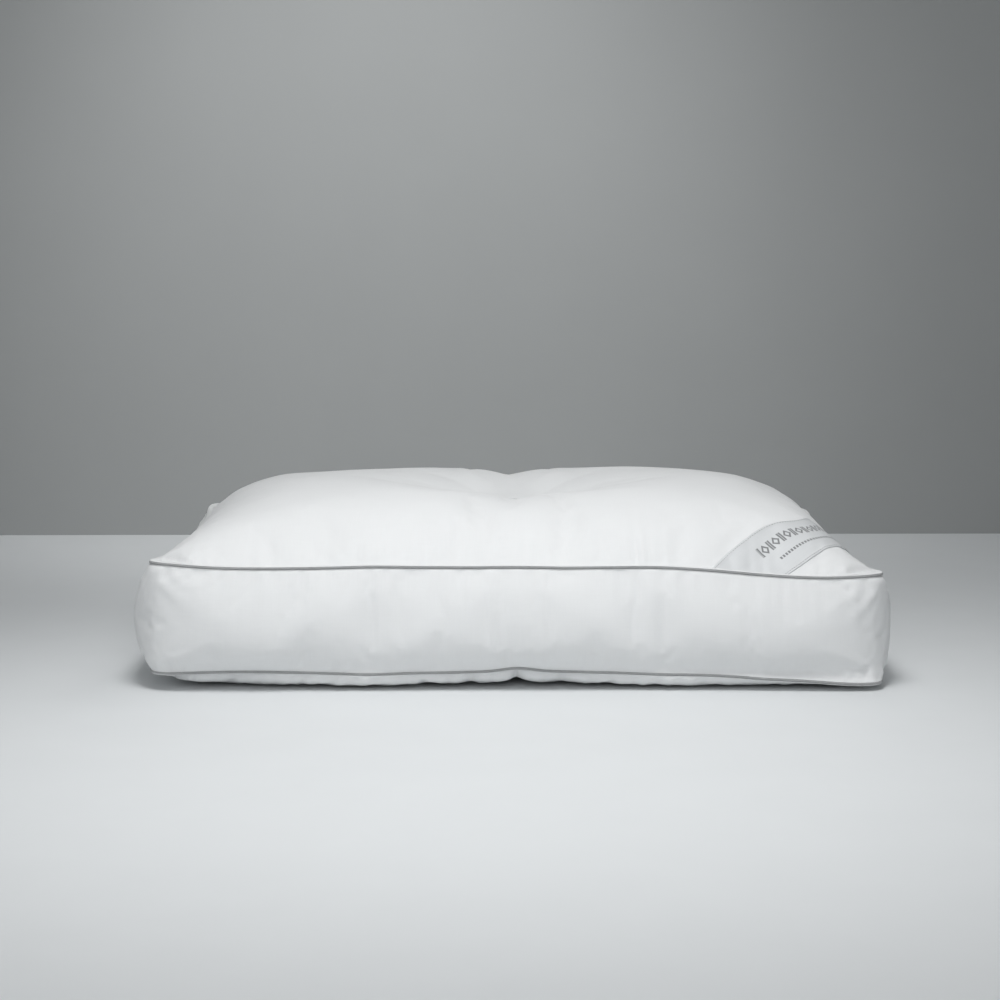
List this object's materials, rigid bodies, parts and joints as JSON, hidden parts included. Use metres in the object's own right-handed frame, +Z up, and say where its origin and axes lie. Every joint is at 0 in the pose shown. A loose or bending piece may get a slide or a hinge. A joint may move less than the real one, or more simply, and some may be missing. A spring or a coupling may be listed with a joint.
{
  "type": "bed pillow",
  "caption": "Box-edge bed pillow: domed cloth panels, a side band, corded piping on both seams, a centre tuft and a satin ribbon label across one corner.",
  "frame": {"origin": "on the resting surface, under the middle of the pillow's bounding box", "axes": "+X along the long side towards the labelled corner's end, -Y towards the front long side, +Z up through the tuft"},
  "size_m": [0.712, 0.518, 0.183],
  "materials": {
    "white_percale": "matt white cotton percale",
    "underside_percale": "matt white cotton percale, underside",
    "gusset_percale": "matt white cotton percale, side band",
    "top_piping_cloth": "matt mid grey bias-cut cotton",
    "bottom_piping_cloth": "matt mid grey bias-cut cotton",
    "top_cotton_cord": "twisted undyed cotton cord",
    "bottom_cotton_cord": "twisted undyed cotton cord",
    "top_seam_polyester": "white polyester sewing thread",
    "bottom_seam_polyester": "white polyester sewing thread",
    "silver_satin": "silver-grey satin ribbon, soft sheen",
    "outer_stitch_polyester": "grey polyester sewing thread",
    "inner_stitch_polyester": "grey polyester sewing thread",
    "polyester_fibre": "white crimped polyester fibre",
    "cotton_tape": "undyed cotton twill tape",
    "top_tack_polyester": "white polyester sewing thread",
    "bottom_tack_polyester": "white polyester sewing thread"
  },
  "bodies": {
    "root": {"top_panel": "white_percale", "bottom_panel": "underside_percale", "gusset_band": "gusset_percale", "top_piping_cover": "top_piping_cloth", "bottom_piping_cover": "bottom_piping_cloth", "top_piping_cord": "top_cotton_cord", "bottom_piping_cord": "bottom_cotton_cord", "top_seam_thread": "top_seam_polyester", "bottom_seam_thread": "bottom_seam_polyester", "corner_label": "silver_satin", "label_stitch_outer": "outer_stitch_polyester", "label_stitch_inner": "inner_stitch_polyester", "fibre_fill": "polyester_fibre", "centre_tie": "cotton_tape", "top_tie_tack": "top_tack_polyester", "bottom_tie_tack": "bottom_tack_polyester"}
  },
  "joints": []
}
